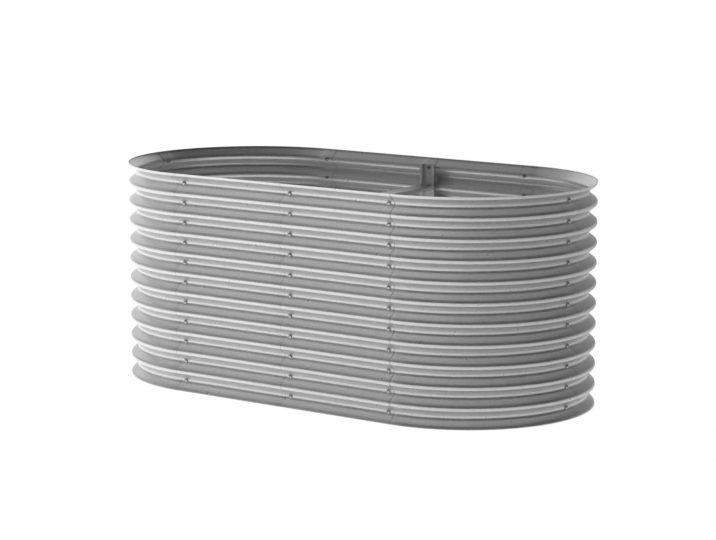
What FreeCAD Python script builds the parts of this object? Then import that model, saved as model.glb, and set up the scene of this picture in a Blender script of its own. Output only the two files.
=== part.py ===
import FreeCAD, Part
import math
import os

# A tall oval raised garden bed of galvanised corrugated steel, open at the top and
# at the bottom.  Its wall is eight sheets, bolted to each other along eight upright
# seams: four curved corner sheets, and two straight sheets in each long side.  Two
# upright struts and two cross braces keep the long sides from bulging.
# Millimetres, +X along the bed, +Y to the back, +Z up.  The origin is on the
# ground, under the middle of the bed.

# ---------------------------------------------------------------- driving sizes
straight_length = 804.0      # straight stretch of each long side
end_radius = 398.0           # radius of the round ends, over the crests
wave_pitch = 61.8            # height of one corrugation
wave_count = 11              # corrugations from the bottom edge to the rim
wave_depth = 24.0            # crest to valley, measured on the outside
wave_slope = 52.0            # steepest lean of the sheet from upright, degrees
sheet = 0.8                  # sheet thickness

seam_overlap = 40.0          # how far one sheet runs under the next
lap_gap = 0.1                # play between two lapped sheets
joggle_length = 10.0         # run in which a sheet steps in under its neighbour
middle_seam_x = 23.0         # bolts of the seam in the middle of each long side

bolt_diameter = 6.0          # shank of the seam bolts
bolt_length = 12.0           # seam bolts, under the head
strut_bolt_length = 16.0     # bolts that also hold a strut, under the head
head_diameter = 12.5
head_height = 3.5
socket_flats = 4.0           # hexagon socket in the head
socket_depth = 2.0
hole_clearance = 0.3         # bolt and screw holes, all round the shank
thread_play = 0.1            # nut and washer, all round the shank
seat_gap = 0.1               # play between a piece and what it rests on
washer_diameter = 12.0
washer_thickness = 1.2
nut_flats = 10.0
nut_height = 5.0

strut_web = 37.0             # width of the strut's flat on the wall
strut_brim = 9.0             # each turned-out edge, beyond the strut's side
strut_depth = 14.0           # how far the strut stands off the wall
strut_thickness = 1.5
strut_end_margin = 12.0      # strut beyond its first and its last bolt
bend_radius = 1.5            # inside radius of the bends in strut and brace

brace_height = 13.0
brace_thickness = 1.5
brace_notch = 12.0           # brace without sides, at each end
screw_diameter = 4.0         # small screws through brace and strut
screw_length = 10.0
screw_head_diameter = 7.5
screw_head_height = 2.2
screw_socket_flats = 2.5
screw_socket_depth = 1.3
screw_nut_flats = 7.0
screw_nut_height = 3.2

# ---------------------------------------------------------------- what follows
half_straight = straight_length / 2
valley_radius = end_radius - wave_depth
valley_heights = [(k + 0.5) * wave_pitch for k in range(wave_count)]
slope = math.radians(wave_slope)
wave_radius = (wave_pitch / 2 - wave_depth / math.tan(slope)) / (2 * math.tan(slope / 2))

lap_step = sheet + lap_gap                        # an under sheet lies this far in
seam_stack = sheet + lap_step                     # two lapped sheets
seam_angle = math.degrees(seam_overlap / valley_radius)
joggle_angle = math.degrees(joggle_length / valley_radius)
middle_lap_start = middle_seam_x - seam_overlap / 2

head_seat = wave_radius - math.sqrt(wave_radius ** 2 - head_diameter ** 2 / 4) + seat_gap
strut_grip = seam_stack + seat_gap + strut_thickness

strut_width = strut_web + 2 * strut_brim
strut_face = valley_radius - seam_stack - seat_gap      # web of the strut, wall side
brim_face = strut_face - strut_depth                    # brims of the strut, room side
brace_end = brim_face - seat_gap                        # turned-down end of a brace
brace_screw_x = (strut_width + strut_web + 2 * bend_radius) / 4
brace_screw_drop = (brace_thickness + bend_radius) / 2  # below the brace's mid height

second_valley = {"lower": valley_heights[1], "upper": valley_heights[-2]}

UP = FreeCAD.Vector(0, 0, 1)
ALONG = FreeCAD.Vector(1, 0, 0)
BACK = FreeCAD.Vector(0, 1, 0)
MIDDLE = FreeCAD.Vector(0, 0, 0)


def vec(x, y, z):
    return FreeCAD.Vector(x, y, z)


def export(name, shape):
    shape.exportStep("parts/" + name + ".step")


# ---------------------------------------------------------------- corrugated sheet
def wave_edges(inset, place):
    """One face of a sheet from its foot to its rim, inset from the bed's outside.

    Crests and valleys are arcs, with straight flanks between them.  place turns a
    distance outwards from the valleys and a height into a point."""
    crest = wave_radius - inset
    valley = wave_radius + inset

    def on_crest(k, angle):
        return place(wave_depth - wave_radius + crest * math.cos(angle),
                     k * wave_pitch + crest * math.sin(angle))

    def on_valley(k, angle):
        return place(wave_radius - valley * math.cos(angle),
                     valley_heights[k] + valley * math.sin(angle))

    def arc(points, k, start, end):
        return Part.Arc(points(k, start), points(k, (start + end) / 2), points(k, end)).toShape()

    edges = [arc(on_crest, 0, 0, slope)]
    for k in range(wave_count):
        crest_end = slope if k + 1 < wave_count else 0
        edges.append(Part.makeLine(on_crest(k, slope), on_valley(k, -slope)))
        edges.append(arc(on_valley, k, -slope, slope))
        edges.append(Part.makeLine(on_valley(k, slope), on_crest(k + 1, -slope)))
        edges.append(arc(on_crest, k + 1, -slope, crest_end))
    return edges


def sheet_wire(inset, place):
    """The cut end of a sheet."""
    outside = wave_edges(inset, place)
    inside = wave_edges(inset + sheet, place)
    foot_and_rim = [
        Part.makeLine(place(wave_depth - inset, z), place(wave_depth - inset - sheet, z))
        for z in (0, wave_count * wave_pitch)]
    return Part.Wire(Part.sortEdges(outside + inside + foot_and_rim)[0])


def straight_wire(x, inset):
    """Cut end of a sheet in the back wall, at x."""
    return sheet_wire(inset, lambda out, z: vec(x, valley_radius + out, z))


def round_wire(angle, inset):
    """Cut end of a sheet in the right end, at an angle from its tip to the back."""
    c, s = math.cos(math.radians(angle)), math.sin(math.radians(angle))

    def place(out, z):
        return vec(half_straight + (valley_radius + out) * c, (valley_radius + out) * s, z)

    return sheet_wire(inset, place)


def straight_run(x_from, x_to, inset):
    return Part.Face(straight_wire(x_from, inset)).extrude(vec(x_to - x_from, 0, 0))


def round_run(angle_from, angle_to, inset):
    face = Part.Face(round_wire(angle_from, inset))
    return face.revolve(vec(half_straight, 0, 0), UP, angle_to - angle_from)


def joggle(wire_from, wire_to):
    return Part.makeLoft([wire_from, wire_to], True, True)


def one_sheet(first_wire, runs, last_wire):
    """The runs of one sheet, which meet end to end, as a single solid."""
    skin = [face for run in runs for face in run.Faces if len(face.Edges) == 4]
    skin += [Part.Face(first_wire), Part.Face(last_wire)]
    sewn = Part.makeCompound(skin)
    sewn.sewShape()
    return Part.makeSolid(sewn.Shells[0])


def corner_sheet(past_tip, under_at_tip):
    """The corner sheet at the right of the back.

    It starts past_tip degrees beyond the tip of the round end, under or over the
    sheet that it meets there.  Its other end runs under the straight sheet."""
    start = -past_tip
    runs = []
    if under_at_tip:
        lap_end = start + seam_angle
        runs.append(round_run(start, lap_end, lap_step))
        start = lap_end + joggle_angle
        runs.append(joggle(round_wire(lap_end, lap_step), round_wire(start, 0)))
    runs.append(round_run(start, 90 - joggle_angle, 0))
    runs.append(joggle(round_wire(90 - joggle_angle, 0), round_wire(90, lap_step)))
    lap_end_x = half_straight - seam_overlap
    runs.append(straight_run(half_straight, lap_end_x, lap_step))
    first_wire = round_wire(-past_tip, lap_step if under_at_tip else 0)
    return one_sheet(first_wire, runs, straight_wire(lap_end_x, lap_step))


def left_side_sheet():
    """The left straight sheet of the back, whose right end runs under the other."""
    joggle_start = middle_lap_start - joggle_length
    lap_end = middle_lap_start + seam_overlap
    runs = [straight_run(-half_straight, joggle_start, 0),
            joggle(straight_wire(joggle_start, 0), straight_wire(middle_lap_start, lap_step)),
            straight_run(middle_lap_start, lap_end, lap_step)]
    return one_sheet(straight_wire(-half_straight, 0), runs, straight_wire(lap_end, lap_step))


def right_side_sheet():
    """The right straight sheet of the back, which lies over both its neighbours."""
    return straight_run(middle_lap_start, half_straight, 0)


def to_left(shape):
    return shape.mirror(MIDDLE, ALONG)


def to_front(shape):
    return shape.mirror(MIDDLE, BACK)


# ---------------------------------------------------------------- places of the seams
def straight_seam(x, out):
    """A seam in a long side, whose outward direction is out, in degrees."""
    return {"x": x, "y": math.copysign(valley_radius, out), "out": out}


def end_seam(middle_x, out):
    """A seam in a round end about middle_x."""
    return {"x": middle_x + valley_radius * math.cos(math.radians(out)),
            "y": valley_radius * math.sin(math.radians(out)), "out": out}


outer_seam_x = half_straight - seam_overlap / 2
seams = {
    "front_left": straight_seam(-outer_seam_x, -90),
    "front_middle": straight_seam(middle_seam_x, -90),
    "front_right": straight_seam(outer_seam_x, -90),
    "right_end": end_seam(half_straight, -seam_angle / 2),
    "back_right": straight_seam(outer_seam_x, 90),
    "back_middle": straight_seam(middle_seam_x, 90),
    "back_left": straight_seam(-outer_seam_x, 90),
    "left_end": end_seam(-half_straight, 180 - seam_angle / 2),
}


def seam_row(piece, name):
    """A piece that points outwards along +X, at each bolt of a seam."""
    seam = seams[name]
    row = []
    for z in valley_heights:
        copy = piece.copy()
        copy.Placement = FreeCAD.Placement(vec(seam["x"], seam["y"], z),
                                           FreeCAD.Rotation(UP, seam["out"]))
        row.append(copy)
    return row


def drilled(panel, names):
    """A sheet with the bolt holes of its seams, one in every valley."""
    drill = Part.makeCylinder(bolt_diameter / 2 + hole_clearance, wave_depth,
                              vec(-wave_depth / 2, 0, 0), ALONG)
    return panel.cut([hole for name in names for hole in seam_row(drill, name)]).Solids[0]


# ---------------------------------------------------------------- fasteners, along +X
def hexagon(flats, x_from, x_to):
    """A hexagonal bar with two of its flats upright."""
    corner = flats / math.sqrt(3)
    turns = [math.radians(60 * k + 30) for k in range(6)]
    corners = [vec(x_from, corner * math.cos(turn), corner * math.sin(turn)) for turn in turns]
    return Part.Face(Part.makePolygon(corners + corners[:1])).extrude(vec(x_to - x_from, 0, 0))


def rod(diameter, x_from, x_to):
    return Part.makeCylinder(diameter / 2, x_to - x_from, vec(x_from, 0, 0), ALONG)


def socket_bolt(shank, length, head, crown, flats, depth, seat):
    """A bolt whose domed head, with a hexagon socket, rests on x = seat."""
    edge = crown / 4
    shoulder = vec(seat + 0.85 * crown, 0, head / 3)
    outline = [vec(seat + crown, 0, 0), vec(seat - length, 0, 0), vec(seat - length, 0, shank / 2),
               vec(seat, 0, shank / 2), vec(seat, 0, head / 2), vec(seat + edge, 0, head / 2)]
    lines = [Part.makeLine(a, b) for a, b in zip(outline, outline[1:])]
    dome = Part.Arc(outline[-1], shoulder, outline[0]).toShape()
    bolt = Part.Face(Part.Wire(lines + [dome])).revolve(MIDDLE, ALONG, 360)
    return bolt.cut(hexagon(flats, seat + crown - depth, seat + 2 * crown))


def nut(flats, tall, shank, seat):
    """A hexagon nut whose outer face is at x = seat, with its corners turned off."""
    across_corners = 2 * flats / math.sqrt(3)
    blank = rod(across_corners, seat - tall, seat)
    rims = [edge for edge in blank.Edges if edge.Closed and len(edge.Vertexes) == 1]
    turned = blank.makeChamfer((across_corners - flats) / 3, rims)
    return turned.common(hexagon(flats, seat - tall, seat)).cut(
        rod(shank + 2 * thread_play, seat - tall, seat))


def washer(seat):
    """A plain washer whose outer face is at x = seat."""
    return rod(washer_diameter, seat - washer_thickness, seat).cut(
        rod(bolt_diameter + 2 * thread_play, seat - washer_thickness, seat))


def seam_fasteners(name):
    """Bolts, washers and nuts of one seam, of which a middle one also holds a strut."""
    holds_strut = name.endswith("middle")
    length = strut_bolt_length if holds_strut else bolt_length
    washer_seat = -seat_gap - (strut_grip if holds_strut else seam_stack)
    bolt = socket_bolt(bolt_diameter, length, head_diameter, head_height,
                       socket_flats, socket_depth, head_seat)
    export("bolts_" + name, Part.makeCompound(seam_row(bolt, name)))
    export("washers_" + name, Part.makeCompound(seam_row(washer(washer_seat), name)))
    nut_seat = washer_seat - washer_thickness
    export("nuts_" + name, Part.makeCompound(
        seam_row(nut(nut_flats, nut_height, bolt_diameter, nut_seat), name)))


# ---------------------------------------------------------------- strut and brace
def bent_strip(path, thickness, length):
    """A strip of sheet metal whose middle line follows path, with square round bends.

    The path lies in a plane square to length, along which the strip is extruded."""
    out_of_plane = FreeCAD.Vector(length).normalize()
    runs = [(b - a).normalize() for a, b in zip(path, path[1:])]
    middle_radius = bend_radius + thickness / 2
    faces = []
    for side in (1, -1):
        offset = side * thickness / 2
        point = path[0] + out_of_plane.cross(runs[0]) * offset
        edges = []
        for corner, before, after in zip(path[1:], runs, runs[1:]):
            turn = out_of_plane.dot(before.cross(after))
            radius = middle_radius - offset * turn
            centre = corner + (after - before) * middle_radius
            start, end = centre - after * radius, centre + before * radius
            halfway = centre + (before - after).normalize() * radius
            edges.append(Part.makeLine(point, start))
            edges.append(Part.Arc(start, halfway, end).toShape())
            point = end
        last = path[-1] + out_of_plane.cross(runs[-1]) * offset
        edges.append(Part.makeLine(point, last))
        faces.append((edges, path[0] + out_of_plane.cross(runs[0]) * offset, last))
    (left, left_start, left_end), (right, right_start, right_end) = faces
    ends = [Part.makeLine(left_start, right_start), Part.makeLine(left_end, right_end)]
    return Part.Face(Part.Wire(Part.sortEdges(left + right + ends)[0])).extrude(length)


def back_strut():
    """The hat-shaped strut of the back: its web on the wall, its brims to the room."""
    half = strut_thickness / 2
    side, edge = strut_web / 2 - half, strut_width / 2
    web_y, brim_y = strut_face - half, brim_face + half
    bottom = valley_heights[0] - strut_end_margin
    tall = valley_heights[-1] + strut_end_margin - bottom
    path = [vec(middle_seam_x + x, y, bottom) for x, y in
            ((-edge, brim_y), (-side, brim_y), (-side, web_y),
             (side, web_y), (side, brim_y), (edge, brim_y))]
    strut = drilled(bent_strip(path, strut_thickness, vec(0, 0, tall)), ["back_middle"])
    return strut.cut(brace_screw_places(screw_hole(), "upper")
                     + brace_screw_places(screw_hole(), "lower")).Solids[0]


def brace(level):
    """A channel across the bed, open downwards, whose top turns down at each end."""
    half = brace_thickness / 2
    side, top = strut_width / 2 - half, second_valley[level] + brace_height / 2 - half
    bottom = second_valley[level] - brace_height / 2
    channel_end = brace_end - brace_notch
    channel = bent_strip([vec(middle_seam_x + x, -channel_end, z) for x, z in
                          ((-side, bottom), (-side, top), (side, top), (side, bottom))],
                         brace_thickness, vec(0, 2 * channel_end, 0))
    left = middle_seam_x - strut_width / 2
    end = bent_strip([vec(left, channel_end, top), vec(left, brace_end - half, top),
                      vec(left, brace_end - half, bottom)],
                     brace_thickness, vec(strut_width, 0, 0))
    piece = channel.fuse([end, to_front(end)]).Solids[0]
    return piece.cut(brace_screw_places(screw_hole(), level)).Solids[0]


def screw_hole():
    return rod(screw_diameter + 2 * hole_clearance, -strut_depth / 2, strut_depth / 2)


def brace_screw_places(piece, level):
    """A piece that points to the wall along +X, at the four screws of a brace.

    Its x = 0 is the face of the brace's turned-down end that the screw head is on."""
    places = []
    for out in (90, -90):
        for x in (-brace_screw_x, brace_screw_x):
            copy = piece.copy()
            y = math.copysign(brace_end - brace_thickness, out)
            z = second_valley[level] - brace_screw_drop
            copy.Placement = FreeCAD.Placement(vec(middle_seam_x + x, y, z),
                                               FreeCAD.Rotation(UP, out))
            places.append(copy)
    return places


def brace_fasteners(level):
    """Small screws and nuts that hold a brace to the brims of both struts."""
    screw = socket_bolt(screw_diameter, screw_length, screw_head_diameter, screw_head_height,
                        screw_socket_flats, screw_socket_depth, seat_gap)
    screw = screw.mirror(MIDDLE, ALONG)     # its head is on the room side
    export("brace_screws_" + level, Part.makeCompound(brace_screw_places(screw, level)))
    far_side = brace_thickness + seat_gap + strut_thickness + seat_gap + screw_nut_height
    small_nut = nut(screw_nut_flats, screw_nut_height, screw_diameter, far_side)
    export("brace_nuts_" + level, Part.makeCompound(brace_screw_places(small_nut, level)))


# ---------------------------------------------------------------- the bed, piece by piece
os.makedirs("parts", exist_ok=True)

export("corner_panel_front_left",
       drilled(to_left(to_front(corner_sheet(seam_angle, False))), ["front_left", "left_end"]))
export("corner_panel_front_right",
       drilled(to_front(corner_sheet(0, False)), ["front_right", "right_end"]))
export("corner_panel_back_right",
       drilled(corner_sheet(seam_angle, True), ["back_right", "right_end"]))
export("corner_panel_back_left",
       drilled(to_left(corner_sheet(0, True)), ["back_left", "left_end"]))

export("side_panel_front_left",
       drilled(to_front(left_side_sheet()), ["front_left", "front_middle"]))
export("side_panel_front_right",
       drilled(to_front(right_side_sheet()), ["front_middle", "front_right"]))
export("side_panel_back_left", drilled(left_side_sheet(), ["back_left", "back_middle"]))
export("side_panel_back_right", drilled(right_side_sheet(), ["back_middle", "back_right"]))

for seam_name in seams:
    seam_fasteners(seam_name)

export("strut_back", back_strut())
export("strut_front", to_front(back_strut()))
for brace_level in second_valley:
    export("cross_brace_" + brace_level, brace(brace_level))
    brace_fasteners(brace_level)
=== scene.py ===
import math
import random
import bmesh
import bpy
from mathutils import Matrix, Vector


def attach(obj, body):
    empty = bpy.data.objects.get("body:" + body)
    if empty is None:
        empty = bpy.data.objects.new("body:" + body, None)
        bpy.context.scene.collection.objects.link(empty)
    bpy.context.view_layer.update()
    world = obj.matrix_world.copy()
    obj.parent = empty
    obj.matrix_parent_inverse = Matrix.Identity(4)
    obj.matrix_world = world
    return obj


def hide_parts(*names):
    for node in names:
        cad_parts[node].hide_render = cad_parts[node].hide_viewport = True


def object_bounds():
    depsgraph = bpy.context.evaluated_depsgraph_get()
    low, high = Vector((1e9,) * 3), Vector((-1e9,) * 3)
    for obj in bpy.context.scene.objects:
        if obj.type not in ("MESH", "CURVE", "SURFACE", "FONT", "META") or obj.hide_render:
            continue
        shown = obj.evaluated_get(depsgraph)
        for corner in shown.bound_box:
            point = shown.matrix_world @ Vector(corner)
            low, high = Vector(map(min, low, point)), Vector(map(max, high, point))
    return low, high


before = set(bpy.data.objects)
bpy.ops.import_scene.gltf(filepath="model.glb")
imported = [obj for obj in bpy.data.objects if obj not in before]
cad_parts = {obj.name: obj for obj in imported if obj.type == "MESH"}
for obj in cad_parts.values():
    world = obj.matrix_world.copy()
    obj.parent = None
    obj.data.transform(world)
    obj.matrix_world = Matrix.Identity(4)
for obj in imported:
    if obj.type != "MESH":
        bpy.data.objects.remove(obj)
cad_low, cad_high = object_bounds()

# ---------------------------------------------------------------- corner sheets
# Four sheets of 0.8 mm hot-dip galvanised steel, rolled into lying corrugations and curved
# to a quarter of the bed's round ends.  Each steps in under the side sheet beside it, the
# back ones also under the front ones at the tips, and bolts hold the laps in every valley.
wave_count = 11
wave_pitch = cad_high.z / wave_count
wave_depth = 0.024
wave_slope = math.radians(52)
wave_radius = (wave_pitch / 2 - wave_depth / math.tan(wave_slope)) / (2 * math.tan(wave_slope / 2))
arc_steps = 6                          # facets in half a crest or half a valley
end_steps = 30                         # facets round a quarter of an end
lap_steps = 4
joggle_steps = 2
hole_facets = 16
sheet_crease = 35                      # degrees: a sharper edge isn't shaded smooth

end_radius = cad_high.y
valley_radius = end_radius - wave_depth
half_straight = cad_high.x - end_radius

sheet_thickness = 0.0008
lap_step = 0.0009                      # an under sheet lies this far in
seam_overlap = 0.040
joggle_length = 0.010                  # the stretch in which it steps in
middle_seam_x = 0.023
seam_angle = seam_overlap / valley_radius
joggle_angle = joggle_length / valley_radius
bolt_hole_radius = 0.0033
seam_shade_band = 0.0016                  # painted seam shade: the outer face is darker this wide along each cut end
seam_shade_limit = 1.2 * seam_shade_band     # only faces along a cut end are narrower than this
same_level = 1e-6
same_share = 0.01


def straight_seam(x, side):
    """Place and outward direction of a seam in a long side."""
    return x, side * valley_radius, side * math.pi / 2


def end_seam(middle_x, out):
    """Place and outward direction of a seam in a round end about middle_x."""
    return middle_x + valley_radius * math.cos(out), valley_radius * math.sin(out), out


outer_seam_x = half_straight - seam_overlap / 2
seams = {
    "front_left": straight_seam(-outer_seam_x, -1),
    "front_middle": straight_seam(middle_seam_x, -1),
    "front_right": straight_seam(outer_seam_x, -1),
    "right_end": end_seam(half_straight, -seam_angle / 2),
    "back_right": straight_seam(outer_seam_x, 1),
    "back_middle": straight_seam(middle_seam_x, 1),
    "back_left": straight_seam(-outer_seam_x, 1),
    "left_end": end_seam(-half_straight, math.pi - seam_angle / 2),
}


def linear(hex_colour):
    """An sRGB hex colour as linear red, green, blue and alpha."""
    parts = [int(hex_colour[k:k + 2], 16) / 255 for k in (0, 2, 4)]
    return [p / 12.92 if p <= 0.04045 else ((p + 0.055) / 1.055) ** 2.4 for p in parts] + [1.0]


def add_node(tree, kind, settings=None, links=None):
    """Adds a node with its settings, by attribute or socket, and its links.

    A socket is given by its name, or by its number where several have one name."""
    node = tree.nodes.new(kind)
    for name, value in (settings or {}).items():
        if isinstance(name, str) and hasattr(node, name):
            setattr(node, name, value)
        else:
            node.inputs[name].default_value = value
    for name, socket in (links or {}).items():
        tree.links.new(socket, node.inputs[name])
    return node


zinc_metallic = 0.67
streak_length = 1 / 6                  # metres along the corrugations
streak_width = 0.0025
streak_share = 0.45                    # of the mottle, the crystals being the rest
grain_size = 0.004
zinc_relief = 0.0004


def galvanised_steel(name, crystal, dark, light, smooth, rough):
    """Hot-dip galvanised steel: zinc frozen into flat crystals, each with its own sheen.

    The crystals give a faint mottle, and rolling leaves streaks along the corrugations,
    drawn wider than the real ones so that they show.  The zinc is not quite flat, so that
    reflections waver, and its oxide skin scatters light, so it is not wholly metallic."""
    material = bpy.data.materials.new(name)
    material.use_nodes = True
    tree = material.node_tree
    shader = tree.nodes["Principled BSDF"]
    shader.inputs["Metallic"].default_value = zinc_metallic
    place = add_node(tree, "ShaderNodeTexCoord").outputs["Object"]
    crystals = add_node(tree, "ShaderNodeTexVoronoi", {"Scale": 1 / crystal}, {"Vector": place})
    along = add_node(tree, "ShaderNodeMapping",
                     {"Scale": (1 / streak_length, 1 / streak_length, 1 / streak_width)},
                     {"Vector": place})
    streaks = add_node(tree, "ShaderNodeTexNoise", {"Scale": 1.0, "Detail": 3.0},
                       {"Vector": along.outputs["Vector"]})
    grain = add_node(tree, "ShaderNodeTexNoise", {"Scale": 1 / grain_size, "Detail": 2.0},
                     {"Vector": place})
    mottle = add_node(tree, "ShaderNodeMix", {"data_type": "FLOAT", "Factor": streak_share},
                      {"A": crystals.outputs["Color"], "B": streaks.outputs["Fac"]})
    tint = add_node(tree, "ShaderNodeMix",
                    {"data_type": "RGBA", "A": linear(dark), "B": linear(light)},
                    {"Factor": mottle.outputs["Result"]})
    sheen = add_node(tree, "ShaderNodeMapRange", {"To Min": smooth, "To Max": rough},
                     {"Value": crystals.outputs["Color"]})
    relief = add_node(tree, "ShaderNodeMix", {"data_type": "FLOAT", "Factor": 0.5},
                      {"A": streaks.outputs["Fac"], "B": grain.outputs["Fac"]})
    bump = add_node(tree, "ShaderNodeBump", {"Strength": 0.03, "Distance": zinc_relief},
                    {"Height": relief.outputs["Result"]})
    tree.links.new(tint.outputs["Result"], shader.inputs["Base Color"])
    tree.links.new(sheen.outputs["Result"], shader.inputs["Roughness"])
    tree.links.new(bump.outputs["Normal"], shader.inputs["Normal"])
    return material


sheet_steel = galvanised_steel("hot-dip galvanised sheet", 0.006, "D8D8D8", "EEEEEE", 0.27, 0.36)
# Darker, duller zinc for the real sheared cut ends, also laid on a narrow band of the face beside each
# end as a painted shade line along the seams.
cut_edge_and_seam_shade = galvanised_steel("sheared edge and painted seam shade of galvanised sheet", 0.003, "B4B4B4", "D2D2D2", 0.38, 0.50)


def select_only(piece):
    bpy.ops.object.select_all(action="DESELECT")
    piece.select_set(True)
    bpy.context.view_layer.objects.active = piece


def shade_round(piece, crease):
    """Shades rounded faces smooth and keeps edges of more than crease degrees."""
    select_only(piece)
    bpy.ops.object.shade_smooth_by_angle(angle=math.radians(crease))


def apply_modifier(piece, kind, **settings):
    select_only(piece)
    modifier = piece.modifiers.new(kind.lower(), kind)
    for name, value in settings.items():
        setattr(modifier, name, value)
    bpy.ops.object.modifier_apply(modifier=modifier.name)


def corrugated_line(name, x):
    """The cut end of a back sheet at x, drawn as one line from its foot to its rim."""
    bpy.ops.object.select_all(action="DESELECT")
    bpy.ops.mesh.primitive_plane_add(size=sheet_thickness)
    line = bpy.context.object
    line.name = name
    bpy.ops.object.mode_set(mode="EDIT")
    bpy.ops.mesh.merge(type="CENTER")
    bpy.ops.transform.translate(value=(x, end_radius, 0))
    crest_y = end_radius - wave_radius
    valley_y = valley_radius + wave_radius
    flank_in = wave_depth - 2 * wave_radius * (1 - math.cos(wave_slope))
    flank_up = wave_pitch / 2 - 2 * wave_radius * math.sin(wave_slope)
    along = (1, 0, 0)
    bpy.ops.mesh.spin(steps=arc_steps, angle=-wave_slope, axis=along, center=(x, crest_y, 0))
    bpy.ops.mesh.extrude_region_move(TRANSFORM_OT_translate={"value": (0, -flank_in, flank_up)})
    bpy.ops.mesh.spin(steps=2 * arc_steps, angle=2 * wave_slope, axis=along,
                      center=(x, valley_y, wave_pitch / 2))
    bpy.ops.mesh.extrude_region_move(TRANSFORM_OT_translate={"value": (0, flank_in, flank_up)})
    bpy.ops.mesh.spin(steps=arc_steps, angle=-wave_slope, axis=along,
                      center=(x, crest_y, wave_pitch))
    bpy.ops.object.mode_set(mode="OBJECT")
    apply_modifier(line, "ARRAY", count=wave_count, use_relative_offset=False,
                   use_constant_offset=True, constant_offset_displace=(0, 0, wave_pitch),
                   use_merge_vertices=True, merge_threshold=1e-5)
    bpy.ops.object.mode_set(mode="EDIT")
    bpy.ops.mesh.select_all(action="SELECT")
    return line


def run_straight(length, steps):
    """Carries the selected line on along the bed."""
    for _ in range(steps):
        bpy.ops.mesh.extrude_region_move(TRANSFORM_OT_translate={"value": (length / steps, 0, 0)})


def run_round(angle, steps):
    """Carries the selected line on round the right end."""
    bpy.ops.mesh.spin(steps=steps, angle=angle, axis=(0, 0, 1), center=(half_straight, 0, 0))


def sink_laps(sheet, share_under):
    """Sinks the laps of a sheet that lie under its neighbours, and its joggles half as far."""
    for share in (0.5, 1.0):
        mesh = bmesh.from_edit_mesh(sheet.data)
        for vertex in mesh.verts:
            vertex.select_set(abs(share_under(vertex.co) - share) < same_share)
        mesh.select_flush_mode()
        bpy.ops.transform.shrink_fatten(value=-share * lap_step)


def complete_sheet(sheet, side_x, side_y, names):
    """Mirrors a back sheet to its place, gives it its thickness and punches its holes."""
    bpy.ops.mesh.select_all(action="SELECT")
    bpy.ops.transform.resize(value=(side_x, side_y, 1), center_override=(0, 0, 0))
    if side_x * side_y < 0:
        bpy.ops.mesh.flip_normals()
    bpy.ops.object.mode_set(mode="OBJECT")
    sheet.data.materials.append(sheet_steel)
    sheet.data.materials.append(cut_edge_and_seam_shade)
    apply_modifier(sheet, "SOLIDIFY", thickness=sheet_thickness, offset=-1,
                   use_even_offset=True, material_offset_rim=1)
    points = sheet.data.vertices
    for point in points:
        point.co.z = min(max(point.co.z, 0.0), cad_high.z)      # foot and rim are cut level
    # The cut ends are real sheared edges; the narrow band beside each is painted darker as the shade
    # along the seam.
    for face in sheet.data.polygons:
        level_edges = [(points[a].co - points[b].co).length for a, b in face.edge_keys
                       if abs(points[a].co.z - points[b].co.z) < same_level]
        if level_edges and min(level_edges) < seam_shade_limit:
            face.material_index = 1
    for name in names:
        x, y, out = seams[name]
        bpy.ops.object.select_all(action="DESELECT")
        bpy.ops.mesh.primitive_cylinder_add(vertices=hole_facets, radius=bolt_hole_radius,
                                            depth=wave_depth, location=(x, y, wave_pitch / 2),
                                            rotation=(0, math.pi / 2, out))
        punches = bpy.context.object
        bpy.ops.object.transform_apply(location=True, rotation=True, scale=True)
        apply_modifier(punches, "ARRAY", count=wave_count, use_relative_offset=False,
                       use_constant_offset=True, constant_offset_displace=(0, 0, wave_pitch))
        apply_modifier(sheet, "BOOLEAN", operation="DIFFERENCE", solver="MANIFOLD", object=punches)
        bpy.data.objects.remove(punches)
    shade_round(sheet, sheet_crease)
    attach(sheet, "root")


def corner_sheet(name, past_tip, under_at_tip):
    """A corner sheet at the right of the back.  It ends past_tip radians beyond the tip."""
    sheet = corrugated_line(name, half_straight - seam_overlap)
    run_straight(seam_shade_band, 1)
    run_straight(seam_overlap - seam_shade_band, lap_steps)
    run_round(joggle_angle, joggle_steps)
    main_angle = math.pi / 2 + past_tip - joggle_angle
    if under_at_tip:
        run_round(main_angle - joggle_angle - seam_angle, end_steps)
        run_round(joggle_angle, joggle_steps)
    else:
        run_round(main_angle - seam_angle, end_steps)
    run_round(seam_angle - seam_shade_band / valley_radius, lap_steps)
    run_round(seam_shade_band / valley_radius, 1)

    def share_under(place):
        """How far under its neighbour the sheet lies at a place, as a share of the step."""
        angle = math.atan2(place.y, place.x - half_straight)
        if place.x < half_straight + same_level:
            return 1.0
        share = 1 - (math.pi / 2 - angle) / joggle_angle
        if under_at_tip:
            share = max(share, 1 - (angle + past_tip - seam_angle) / joggle_angle)
        return min(1.0, share)

    sink_laps(sheet, share_under)
    return sheet


# How far each corner sheet runs past the tip, whether it goes under there, the sides of
# the bed it is mirrored to, and its two seams.
corners = {
    "back_right": (seam_angle, True, 1, 1, ("back_right", "right_end")),
    "front_right": (0.0, False, 1, -1, ("front_right", "right_end")),
    "back_left": (0.0, True, -1, 1, ("back_left", "left_end")),
    "front_left": (seam_angle, False, -1, -1, ("front_left", "left_end")),
}
for corner, (past_tip, under_at_tip, side_x, side_y, names) in corners.items():
    corner_piece = corner_sheet("corner_sheet_" + corner, past_tip, under_at_tip)
    complete_sheet(corner_piece, side_x, side_y, names)
    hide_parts("corner_panel_" + corner)

# ---------------------------------------------------------------- side sheets
# Two straight sheets of the same corrugated steel in each long side.  The left one steps
# in under the right one at the middle seam, and both lie over the corner sheets.
side_steps = 12
lap_start = middle_seam_x - seam_overlap / 2
joggle_start = lap_start - joggle_length


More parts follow.
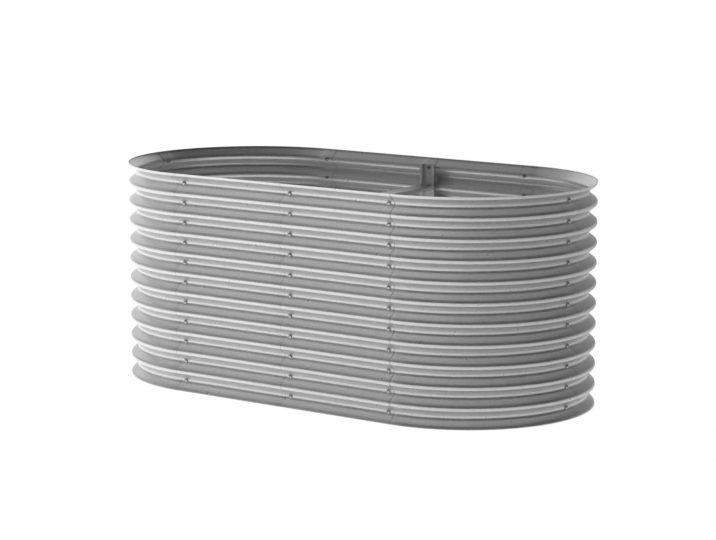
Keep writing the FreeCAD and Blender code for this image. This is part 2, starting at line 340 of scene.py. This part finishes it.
def left_side_sheet(name):
    """A back sheet from the left corner to its lap under the right one."""
    sheet = corrugated_line(name, -half_straight)
    run_straight(seam_shade_band, 1)
    run_straight(joggle_start + half_straight - seam_shade_band, side_steps)
    run_straight(joggle_length, joggle_steps)
    run_straight(seam_overlap - seam_shade_band, lap_steps)
    run_straight(seam_shade_band, 1)
    sink_laps(sheet, lambda place: min(1.0, (place.x - joggle_start) / joggle_length))
    return sheet


def right_side_sheet(name):
    """A back sheet from its lap over the left one to the right corner."""
    sheet = corrugated_line(name, lap_start)
    run_straight(seam_shade_band, 1)
    run_straight(half_straight - lap_start - 2 * seam_shade_band, side_steps)
    run_straight(seam_shade_band, 1)
    return sheet


for side_name, side_y in (("front", -1), ("back", 1)):
    left_piece = left_side_sheet("side_sheet_" + side_name + "_left")
    complete_sheet(left_piece, 1, side_y, (side_name + "_left", side_name + "_middle"))
    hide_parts("side_panel_" + side_name + "_left")
    right_piece = right_side_sheet("side_sheet_" + side_name + "_right")
    complete_sheet(right_piece, 1, side_y, (side_name + "_middle", side_name + "_right"))
    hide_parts("side_panel_" + side_name + "_right")

# ---------------------------------------------------------------- seam bolts
# M6 button-head bolts of zinc-plated steel, one in every valley of each seam, put in from
# outside.  Their heads are cold-pressed with a hexagon socket, their threads rolled; the
# ones of the two middle seams are longer, because they hold the struts as well.
bolt_diameter = 0.006
bolt_length = 0.012
strut_bolt_length = 0.016
head_diameter = 0.0125
head_height = 0.0035
socket_flats = 0.004
socket_depth = 0.002
seat_gap = 0.0001
head_seat = wave_radius - math.sqrt(wave_radius ** 2 - head_diameter ** 2 / 4) + seat_gap
thread_pitch = 0.001
thread_root = 0.87                     # of the shank's radius, as is the point
bolt_point = 0.75
first_crest = 0.4                      # of the thread's pitch, from the point
bare_shank = 0.4                       # of the length, without a thread
head_edge = 0.06                       # rounding under the head
head_rim = 0.24                        # of the head's height, up to where its dome begins
head_flat = 0.36                       # of the head's radius, round the socket
dome_steps = 5
bolt_facets = 20
bolt_crease = 40
valley_heights = [(k + 0.5) * wave_pitch for k in range(wave_count)]


cloud_size = 0.005
mark_size = 0.0008
mark_depth = 0.0001


def plated_steel(name, dark, light, smooth, rough):
    """Bright zinc plating on a small turned or pressed part.

    A thin plating keeps the metal's gloss, with a slight cloud and fine marks of handling."""
    material = bpy.data.materials.new(name)
    material.use_nodes = True
    tree = material.node_tree
    shader = tree.nodes["Principled BSDF"]
    shader.inputs["Metallic"].default_value = 1.0
    place = add_node(tree, "ShaderNodeTexCoord").outputs["Object"]
    cloud = add_node(tree, "ShaderNodeTexNoise", {"Scale": 1 / cloud_size, "Detail": 4.0},
                     {"Vector": place})
    marks = add_node(tree, "ShaderNodeTexNoise", {"Scale": 1 / mark_size, "Detail": 2.0},
                     {"Vector": place})
    tint = add_node(tree, "ShaderNodeMix",
                    {"data_type": "RGBA", "A": linear(dark), "B": linear(light)},
                    {"Factor": cloud.outputs["Fac"]})
    sheen = add_node(tree, "ShaderNodeMapRange", {"To Min": smooth, "To Max": rough},
                     {"Value": marks.outputs["Fac"]})
    bump = add_node(tree, "ShaderNodeBump", {"Strength": 0.1, "Distance": mark_depth},
                    {"Height": marks.outputs["Fac"]})
    tree.links.new(tint.outputs["Result"], shader.inputs["Base Color"])
    tree.links.new(sheen.outputs["Result"], shader.inputs["Roughness"])
    tree.links.new(bump.outputs["Normal"], shader.inputs["Normal"])
    return material


bolt_steel = plated_steel("bright zinc-plated bolt steel", "B2B2B3", "D4D4D5", 0.10, 0.20)


def turned(name, outline, steps, material):
    """A turned piece about the X axis.  outline is its half section, as x and radius."""
    bpy.ops.object.select_all(action="DESELECT")
    bpy.ops.mesh.primitive_plane_add(size=0.001)
    piece = bpy.context.object
    piece.name = name
    bpy.ops.object.mode_set(mode="EDIT")
    bpy.ops.mesh.merge(type="CENTER")
    bpy.ops.transform.translate(value=(outline[0][0], 0, outline[0][1]))
    for (x, radius), (next_x, next_radius) in zip(outline, outline[1:]):
        bpy.ops.mesh.extrude_region_move(
            TRANSFORM_OT_translate={"value": (next_x - x, 0, next_radius - radius)})
    bpy.ops.mesh.select_all(action="SELECT")
    bpy.ops.mesh.spin(steps=steps, angle=2 * math.pi, axis=(1, 0, 0), center=(0, 0, 0))
    bpy.ops.mesh.select_all(action="SELECT")
    bpy.ops.mesh.remove_doubles(threshold=1e-6)
    bpy.ops.mesh.normals_make_consistent(inside=False)
    bpy.ops.object.mode_set(mode="OBJECT")
    piece.data.materials.append(material)
    return piece


def hexagon_bar(flats, x_from, x_to):
    """A hexagonal bar along X, to cut with."""
    bpy.ops.object.select_all(action="DESELECT")
    bpy.ops.mesh.primitive_cylinder_add(vertices=6, radius=flats / math.sqrt(3), depth=x_to - x_from,
                                        location=((x_from + x_to) / 2, 0, 0),
                                        rotation=(0, math.pi / 2, 0))
    bpy.ops.object.transform_apply(location=True, rotation=True, scale=True)
    return bpy.context.object


def cut_with(piece, tool, operation="DIFFERENCE"):
    """Cuts a piece with a tool, or joins or trims it, and puts the tool away."""
    apply_modifier(piece, "BOOLEAN", operation=operation, solver="MANIFOLD", object=tool)
    bpy.data.objects.remove(tool)


def socket_bolt(name, shank, length, head, crown, flats, depth, seat, material):
    """A button-head bolt along +X, whose head rests on x = seat."""
    shank_radius, head_radius = shank / 2, head / 2
    outline = [(seat - length, 0.0), (seat - length, bolt_point * shank_radius)]
    thread_end = seat - bare_shank * length
    x = seat - length + first_crest * thread_pitch
    while x < thread_end:
        outline.append((x, shank_radius))
        outline.append((x + thread_pitch / 2, thread_root * shank_radius))
        x += thread_pitch
    outline += [(x, shank_radius), (seat, shank_radius), (seat, (1 - head_edge) * head_radius),
                (seat + head_edge * crown, head_radius), (seat + head_rim * crown, head_radius)]
    for step in range(1, dome_steps):
        bow = step / dome_steps * math.pi / 2
        outline.append((seat + crown * (head_rim + (1 - head_rim) * math.sin(bow)),
                        head_radius * (head_flat + (1 - head_flat) * math.cos(bow))))
    outline += [(seat + crown, head_flat * head_radius), (seat + crown, 0.0)]
    bolt = turned(name, outline, bolt_facets, material)
    cut_with(bolt, hexagon_bar(flats, seat + crown - depth, seat + 2 * crown))
    return bolt


def place_copies(original, name, places, crease):
    """Copies a fastener to its places, given as x, y, height and direction, as one piece.

    Each is turned on its own axis as the spanner happened to leave it."""
    copies = []
    for x, y, z, out in places:
        copy = original.copy()
        copy.data = original.data.copy()
        bpy.context.collection.objects.link(copy)
        copy.rotation_euler = (spanner.uniform(0, math.pi / 3), 0, out)
        copy.location = (x, y, z)
        copies.append(copy)
    bpy.ops.object.select_all(action="DESELECT")
    for copy in copies:
        copy.select_set(True)
    bpy.context.view_layer.objects.active = copies[0]
    bpy.ops.object.join()
    row = bpy.context.object
    row.name = name
    bpy.ops.object.transform_apply(location=True, rotation=True, scale=True)
    shade_round(row, crease)
    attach(row, "root")
    return row


def seam_row(name):
    """The places of a seam's fasteners, one in every valley."""
    x, y, out = seams[name]
    return [(x, y, z, out) for z in valley_heights]


spanner = random.Random(7)
for length, holds_strut in ((bolt_length, False), (strut_bolt_length, True)):
    pattern_bolt = socket_bolt("pattern_bolt", bolt_diameter, length, head_diameter, head_height,
                               socket_flats, socket_depth, head_seat, bolt_steel)
    for seam_name in seams:
        if seam_name.endswith("middle") == holds_strut:
            row = place_copies(pattern_bolt, "seam_bolts_" + seam_name, seam_row(seam_name),
                               bolt_crease)
            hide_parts("bolts_" + seam_name)
    bpy.data.objects.remove(pattern_bolt)

# ---------------------------------------------------------------- washers
# Plain zinc-plated washers, stamped from strip, under the nuts inside the bed.  At the
# middle seams they lie on the struts.
washer_diameter = 0.012
washer_thickness = 0.0012
washer_edge = 0.0002                   # rounding of its stamped edges
thread_play = 0.0001
seam_stack = sheet_thickness + lap_step
strut_thickness = 0.0015
strut_grip = seam_stack + seat_gap + strut_thickness
washer_steel = plated_steel("zinc-plated washer steel", "A4A7A8", "C3C6C7", 0.24, 0.40)


def plain_washer(seat):
    """A washer whose outer face is at x = seat."""
    outer, bore = washer_diameter / 2, bolt_diameter / 2 + thread_play
    front, back = seat, seat - washer_thickness
    outline = [(front, bore), (front, outer - washer_edge), (front - washer_edge, outer),
               (back + washer_edge, outer), (back, outer - washer_edge), (back, bore), (front, bore)]
    return turned("pattern_washer", outline, bolt_facets, washer_steel)


def washer_seat(seam_name):
    """Where a seam's washers lie on their bolts' axis."""
    return -seat_gap - (strut_grip if seam_name.endswith("middle") else seam_stack)


for seam_name in seams:
    pattern_washer = plain_washer(washer_seat(seam_name))
    row = place_copies(pattern_washer, "seam_washers_" + seam_name, seam_row(seam_name), bolt_crease)
    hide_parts("washers_" + seam_name)
    bpy.data.objects.remove(pattern_washer)

# ---------------------------------------------------------------- nuts
# Zinc-plated hexagon nuts, cold-formed and chamfered at both faces, tightened on the
# washers from inside.
nut_flats = 0.010
nut_height = 0.005
nut_countersink = 0.0005
nut_facets = 36
nut_crease = 30
nut_steel = plated_steel("zinc-plated nut steel", "9FA2A4", "C6C9CB", 0.20, 0.34)


def hexagon_nut(flats, tall, shank, seat):
    """A nut whose outer face is at x = seat, its corners turned off by the chamfers."""
    corner = flats / math.sqrt(3)
    chamfer = (2 * corner - flats) / 3
    outside = [(seat - tall, 0.0), (seat - tall, corner - chamfer), (seat - tall + chamfer, corner),
               (seat - chamfer, corner), (seat, corner - chamfer), (seat, 0.0)]
    blank = turned("pattern_nut", outside, nut_facets, nut_steel)
    cut_with(blank, hexagon_bar(flats, seat - tall, seat), "INTERSECT")
    bore = shank / 2 + thread_play
    flare = bore + tall + nut_countersink
    inside = [(seat - 2 * tall, 0.0), (seat - 2 * tall, flare), (seat - tall + nut_countersink, bore),
              (seat - nut_countersink, bore), (seat + tall, flare), (seat + tall, 0.0)]
    cut_with(blank, turned("bore", inside, bolt_facets, nut_steel))
    return blank


for seam_name in seams:
    pattern_nut = hexagon_nut(nut_flats, nut_height, bolt_diameter,
                              washer_seat(seam_name) - washer_thickness)
    row = place_copies(pattern_nut, "seam_nuts_" + seam_name, seam_row(seam_name), nut_crease)
    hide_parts("nuts_" + seam_name)
    bpy.data.objects.remove(pattern_nut)

# ---------------------------------------------------------------- struts
# Two hat-shaped uprights, folded from galvanised strip: the web lies on the wall at the
# middle seam, held by its bolts, and the two narrow brims stand off into the bed.
strut_web = 0.037
strut_brim = 0.009
strut_depth = 0.014
strut_end_margin = 0.012
strut_width = strut_web + 2 * strut_brim
bend_radius = 0.0015
bend_steps = 4
strip_crease = 30
strut_face = valley_radius - seam_stack - seat_gap
brim_face = strut_face - strut_depth
brace_end = brim_face - seat_gap
brace_height = 0.013
brace_thickness = 0.0015
brace_notch = 0.012
screw_diameter = 0.004
hole_clearance = 0.0003
brace_screw_x = (strut_width + strut_web + 2 * bend_radius) / 4
brace_screw_drop = (brace_thickness + bend_radius) / 2
brace_levels = {"lower": valley_heights[1], "upper": valley_heights[-2]}
strip_steel = galvanised_steel("folded galvanised strip", 0.005, "D6D6D6", "EAEAEA", 0.32, 0.44)


def bent_strip(name, path, thickness, run):
    """A strip whose middle line follows path, with square bends, carried on by run."""
    axis = run.normalized()
    directions = [(b - a).normalized() for a, b in zip(path, path[1:])]
    radius = bend_radius + thickness / 2
    bpy.ops.object.select_all(action="DESELECT")
    bpy.ops.mesh.primitive_plane_add(size=thickness)
    strip = bpy.context.object
    strip.name = name
    bpy.ops.object.mode_set(mode="EDIT")
    bpy.ops.mesh.merge(type="CENTER")
    bpy.ops.transform.translate(value=path[0])
    pen = path[0]
    for corner, before, after in zip(path[1:], directions, directions[1:]):
        bpy.ops.mesh.extrude_region_move(
            TRANSFORM_OT_translate={"value": corner - before * radius - pen})
        turn = axis.dot(before.cross(after))
        bpy.ops.mesh.spin(steps=bend_steps, angle=-turn * math.pi / 2, axis=axis,
                          center=corner + (after - before) * radius)
        pen = corner + after * radius
    bpy.ops.mesh.extrude_region_move(TRANSFORM_OT_translate={"value": path[-1] - pen})
    bpy.ops.mesh.select_all(action="SELECT")
    bpy.ops.mesh.extrude_region_move(TRANSFORM_OT_translate={"value": run})
    bpy.ops.mesh.select_all(action="SELECT")
    bpy.ops.mesh.normals_make_consistent(inside=False)
    bpy.ops.object.mode_set(mode="OBJECT")
    strip.data.materials.append(strip_steel)
    strip.data.materials.append(cut_edge_and_seam_shade)
    apply_modifier(strip, "SOLIDIFY", thickness=thickness, offset=0, use_even_offset=True,
                   material_offset_rim=1)
    return strip


def punch(piece, radius, x, y, z):
    """A round hole along Y through a piece."""
    bpy.ops.object.select_all(action="DESELECT")
    bpy.ops.mesh.primitive_cylinder_add(vertices=hole_facets, radius=radius, depth=2 * strut_depth,
                                        location=(x, y, z), rotation=(math.pi / 2, 0, 0))
    bpy.ops.object.transform_apply(location=True, rotation=True, scale=True)
    cut_with(piece, bpy.context.object)


def complete_strip(piece, node):
    shade_round(piece, strip_crease)
    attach(piece, "root")
    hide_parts(node)


def hat_strut(name, side_y):
    """A strut on the back wall (side_y 1) or the front wall (side_y -1)."""
    half = strut_thickness / 2
    side, edge = strut_web / 2 - half, strut_width / 2
    web_y, brim_y = side_y * (strut_face - half), side_y * (brim_face + half)
    bottom = valley_heights[0] - strut_end_margin
    tall = valley_heights[-1] + strut_end_margin - bottom
    corners = ((-edge, brim_y), (-side, brim_y), (-side, web_y),
               (side, web_y), (side, brim_y), (edge, brim_y))
    strut = bent_strip(name, [Vector((middle_seam_x + x, y, bottom)) for x, y in corners],
                       strut_thickness, Vector((0, 0, tall)))
    for z in valley_heights:
        punch(strut, bolt_hole_radius, middle_seam_x, web_y, z)
    for z in brace_levels.values():
        for x in (-brace_screw_x, brace_screw_x):
            punch(strut, screw_diameter / 2 + hole_clearance, middle_seam_x + x, brim_y,
                  z - brace_screw_drop)
    return strut


complete_strip(hat_strut("hat_strut_back", 1), "strut_back")
complete_strip(hat_strut("hat_strut_front", -1), "strut_front")

# ---------------------------------------------------------------- cross braces
# Two channels of the same strip across the bed, open downwards.  At each end the sides
# are cut back and the top turns down, as a tab as wide as the strut, flat on its brims.
joint_overlap = 0.0002                 # the tab is joined on over this length


def channel_brace(name, height):
    """A brace whose middle is at this height, from the back strut to the front one."""
    half = brace_thickness / 2
    side, top = strut_width / 2 - half, height + brace_height / 2 - half
    bottom = height - brace_height / 2
    channel_end = brace_end - brace_notch
    corners = ((-side, bottom), (-side, top), (side, top), (side, bottom))
    channel = bent_strip(name, [Vector((middle_seam_x + x, -channel_end, z)) for x, z in corners],
                         brace_thickness, Vector((0, 2 * channel_end, 0)))
    left = middle_seam_x - strut_width / 2
    for side_y in (1, -1):
        tab = bent_strip("tab", [Vector((left, side_y * (channel_end - joint_overlap), top)),
                                 Vector((left, side_y * (brace_end - half), top)),
                                 Vector((left, side_y * (brace_end - half), bottom))],
                         brace_thickness, Vector((strut_width, 0, 0)))
        cut_with(channel, tab, "UNION")
        for x in (-brace_screw_x, brace_screw_x):
            punch(channel, screw_diameter / 2 + hole_clearance, middle_seam_x + x,
                  side_y * brace_end, height - brace_screw_drop)
    return channel


for level, height in brace_levels.items():
    complete_strip(channel_brace("channel_brace_" + level, height), "cross_brace_" + level)

# ---------------------------------------------------------------- screws and nuts of the braces
# Small zinc-plated M4 button-head screws, two at each end of each brace.  Their heads are
# on the tabs, towards the middle of the bed, and their nuts behind the struts' brims.
screw_length = 0.010
screw_head_diameter = 0.0075
screw_head_height = 0.0022
screw_socket_flats = 0.0025
screw_socket_depth = 0.0013
screw_nut_flats = 0.007
screw_nut_height = 0.0032
far_side = brace_thickness + seat_gap + strut_thickness + seat_gap + screw_nut_height


def brace_screw_places(height, turn):
    """The four screws of a brace.  turn is added to the direction to the wall."""
    return [(middle_seam_x + x, side_y * (brace_end - brace_thickness), height - brace_screw_drop,
             side_y * math.pi / 2 + turn)
            for side_y in (1, -1) for x in (-brace_screw_x, brace_screw_x)]


pattern_screw = socket_bolt("pattern_screw", screw_diameter, screw_length, screw_head_diameter,
                            screw_head_height, screw_socket_flats, screw_socket_depth, seat_gap,
                            bolt_steel)
pattern_nut = hexagon_nut(screw_nut_flats, screw_nut_height, screw_diameter, far_side)
for level, height in brace_levels.items():
    small_screws = place_copies(pattern_screw, "small_screws_" + level,
                                brace_screw_places(height, math.pi), bolt_crease)
    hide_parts("brace_screws_" + level)
    small_nuts = place_copies(pattern_nut, "small_nuts_" + level,
                              brace_screw_places(height, 0), nut_crease)
    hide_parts("brace_nuts_" + level)
bpy.data.objects.remove(pattern_screw)
bpy.data.objects.remove(pattern_nut)

# ---------------------------------------------------------------- floor, light and camera
# A wide white studio floor that glows, less and less towards the right, and a dark studio
# that is white at the horizon and grey to the left, behind and overhead.  One wide softbox
# stands behind the bed's left end.
stage_size = 80.0
bpy.ops.object.select_all(action="DESELECT")
bpy.ops.mesh.primitive_plane_add(size=stage_size)
floor = bpy.context.object
floor.name = "floor"

# Matt white paint, without gloss, with a painted glow.  Round the bed it looks white, apart from a
# soft shadow.  Inside the bed its glow is cut, a painted shade, so it looks and mirrors darker
# there, but it casts more light, in place of what the studio's dark ceiling doesn't send down.
floor_white = 0.87                     # the light that falls on the floor makes up the rest
painted_shade_inside = 0.6
cast_outside = 1.05
cast_inside = 1.6
rightwards = (1.0, 0.5, 0.0)
fade_start = -1.4                      # metres towards the right
fade_end = 1.8
glow_left = 1.05
glow_right = 0.36
glowing_floor = bpy.data.materials.new("matt white studio floor with painted glow")
glowing_floor.use_nodes = True
floor_tree = glowing_floor.node_tree
floor_shader = floor_tree.nodes["Principled BSDF"]
floor_shader.inputs["Base Color"].default_value = linear("EDEDED")
floor_shader.inputs["Roughness"].default_value = 0.9
floor_shader.inputs["Specular IOR Level"].default_value = 0.0
floor_shader.inputs["Emission Color"].default_value = (1.0, 1.0, 1.0, 1.0)
floor_place = add_node(floor_tree, "ShaderNodeTexCoord").outputs["Object"]
spot = add_node(floor_tree, "ShaderNodeSeparateXYZ", links={"Vector": floor_place})
along_bed = add_node(floor_tree, "ShaderNodeMath", {"operation": "ABSOLUTE"}, {0: spot.outputs["X"]})
past_straight = add_node(floor_tree, "ShaderNodeMath", {"operation": "SUBTRACT", 1: half_straight},
                         {0: along_bed.outputs["Value"]})
past_end = add_node(floor_tree, "ShaderNodeMath", {"operation": "MAXIMUM", 1: 0.0},
                    {0: past_straight.outputs["Value"]})
from_middle = add_node(floor_tree, "ShaderNodeCombineXYZ",
                       links={"X": past_end.outputs["Value"], "Y": spot.outputs["Y"]})
reach = add_node(floor_tree, "ShaderNodeVectorMath", {"operation": "LENGTH"},
                 {0: from_middle.outputs["Vector"]})
in_the_bed = add_node(floor_tree, "ShaderNodeMapRange",
                      {"From Min": end_radius, "From Max": valley_radius},
                      {"Value": reach.outputs["Value"]}).outputs["Result"]
to_the_right = add_node(floor_tree, "ShaderNodeVectorMath",
                        {"operation": "DOT_PRODUCT", 1: rightwards}, {0: floor_place})
fade = add_node(floor_tree, "ShaderNodeMapRange",
                {"From Min": fade_start, "From Max": fade_end,
                 "To Min": glow_left, "To Max": glow_right},
                {"Value": to_the_right.outputs["Value"]}).outputs["Result"]
ray = add_node(floor_tree, "ShaderNodeLightPath")
mirrored = add_node(floor_tree, "ShaderNodeMath", {"operation": "MAXIMUM"},
                    {0: ray.outputs["Is Glossy Ray"], 1: ray.outputs["Is Transmission Ray"]})
looked_at = add_node(floor_tree, "ShaderNodeMath", {"operation": "MAXIMUM"},
                     {0: ray.outputs["Is Camera Ray"], 1: mirrored.outputs["Value"]})
# Inside the bed the glow that is seen is cut: a painted shade on the floor there.
seen_share = add_node(floor_tree, "ShaderNodeMix", {"data_type": "FLOAT", "A": 1.0, "B": painted_shade_inside},
                      {"Factor": in_the_bed})
seen_outside = add_node(floor_tree, "ShaderNodeMix", {"data_type": "FLOAT", "B": floor_white},
                        {"Factor": ray.outputs["Is Camera Ray"], "A": fade})
seen = add_node(floor_tree, "ShaderNodeMath", {"operation": "MULTIPLY"},
                {0: seen_outside.outputs["Result"], 1: seen_share.outputs["Result"]})
cast_share = add_node(floor_tree, "ShaderNodeMix",
                      {"data_type": "FLOAT", "A": cast_outside, "B": cast_inside},
                      {"Factor": in_the_bed})
cast = add_node(floor_tree, "ShaderNodeMath", {"operation": "MULTIPLY"},
                {0: fade, 1: cast_share.outputs["Result"]})
glow = add_node(floor_tree, "ShaderNodeMix", {"data_type": "FLOAT"},
                {"Factor": looked_at.outputs["Value"], "A": cast.outputs["Value"],
                 "B": seen.outputs["Value"]})
floor_tree.links.new(glow.outputs["Result"], floor_shader.inputs["Emission Strength"])
floor.data.materials.append(glowing_floor)

studio = bpy.data.worlds.new("studio")
bpy.context.scene.world = studio
studio.use_nodes = True
sky = studio.node_tree
pale_side = (-0.985, 0.174, 0.0)
direction = add_node(sky, "ShaderNodeTexCoord").outputs["Generated"]
aim = add_node(sky, "ShaderNodeSeparateXYZ", links={"Vector": direction})
to_pale_side = add_node(sky, "ShaderNodeVectorMath", {"operation": "DOT_PRODUCT", 1: pale_side},
                        {0: direction})
side_share = add_node(sky, "ShaderNodeMapRange", {"From Min": -1.0, "From Max": 1.0},
                      {"Value": to_pale_side.outputs["Value"]})
grey_levels = {
    "side": (side_share.outputs["Result"],
             ((0.0, 0.0), (1.0, 0.44), (0.46, 0.02), (0.66, 0.07), (0.79, 0.27), (0.9, 0.44))),
    "back": (aim.outputs["Y"], ((0.6, 0.0), (1.0, 0.24))),
    "top": (aim.outputs["Z"], ((0.5, 0.0), (1.0, 0.12))),
    "horizon": (aim.outputs["Z"], ((0.0, 1.0), (1.0, 0.0), (0.015, 0.3), (0.04, 0.0))),
}
tones = {}
for part, (reading, stops) in grey_levels.items():
    ramp = add_node(sky, "ShaderNodeValToRGB", links={"Fac": reading})
    marks = ramp.color_ramp.elements
    for number, (position, level) in enumerate(stops):
        mark = marks[number] if number < 2 else marks.new(position)     # a new ramp has two
        mark.position = position
        mark.color = (level, level, level, 1.0)
    tones[part] = ramp.outputs["Color"]
side_and_back = add_node(sky, "ShaderNodeMix", {"data_type": "RGBA", "blend_type": "ADD", "Factor": 1.0},
                         {"A": tones["side"], "B": tones["back"]})
all_round = add_node(sky, "ShaderNodeMix", {"data_type": "RGBA", "blend_type": "ADD", "Factor": 1.0},
                     {"A": side_and_back.outputs["Result"], "B": tones["top"]})
sky_light = add_node(sky, "ShaderNodeMix", {"data_type": "RGBA", "B": (1.0, 1.0, 1.0, 1.0)},
                     {"Factor": tones["horizon"], "A": all_round.outputs["Result"]})
sky.links.new(sky_light.outputs["Result"], sky.nodes["Background"].inputs["Color"])
sky.nodes["Background"].inputs["Strength"].default_value = 1.0

softbox_place = Vector((-2.1, 2.0, 1.5))
softbox_light = bpy.data.lights.new("softbox", "AREA")
softbox_light.shape = "RECTANGLE"
softbox_light.size = 4.4
softbox_light.size_y = 2.4
softbox_light.energy = 14.0
softbox = bpy.data.objects.new("softbox", softbox_light)
softbox.location = softbox_place
softbox.rotation_euler = (-softbox_place).to_track_quat("-Z", "Y").to_euler()
bpy.context.scene.collection.objects.link(softbox)

# The camera is fitted to the bolt columns and the rim, and looks down a little.
camera_data = bpy.data.cameras.new("camera")
camera_data.sensor_width = 36.0
camera_data.lens = 122.93
camera = bpy.data.objects.new("camera", camera_data)
camera.location = (4.3605, -6.1334, 1.6328)
camera_pitch, camera_yaw = 0.1670, 0.6173
camera.rotation_euler = (math.pi / 2 - camera_pitch, 0.0, camera_yaw)
bpy.context.scene.collection.objects.link(camera)
bpy.context.scene.camera = camera
bpy.context.scene.view_settings.view_transform = "Standard"
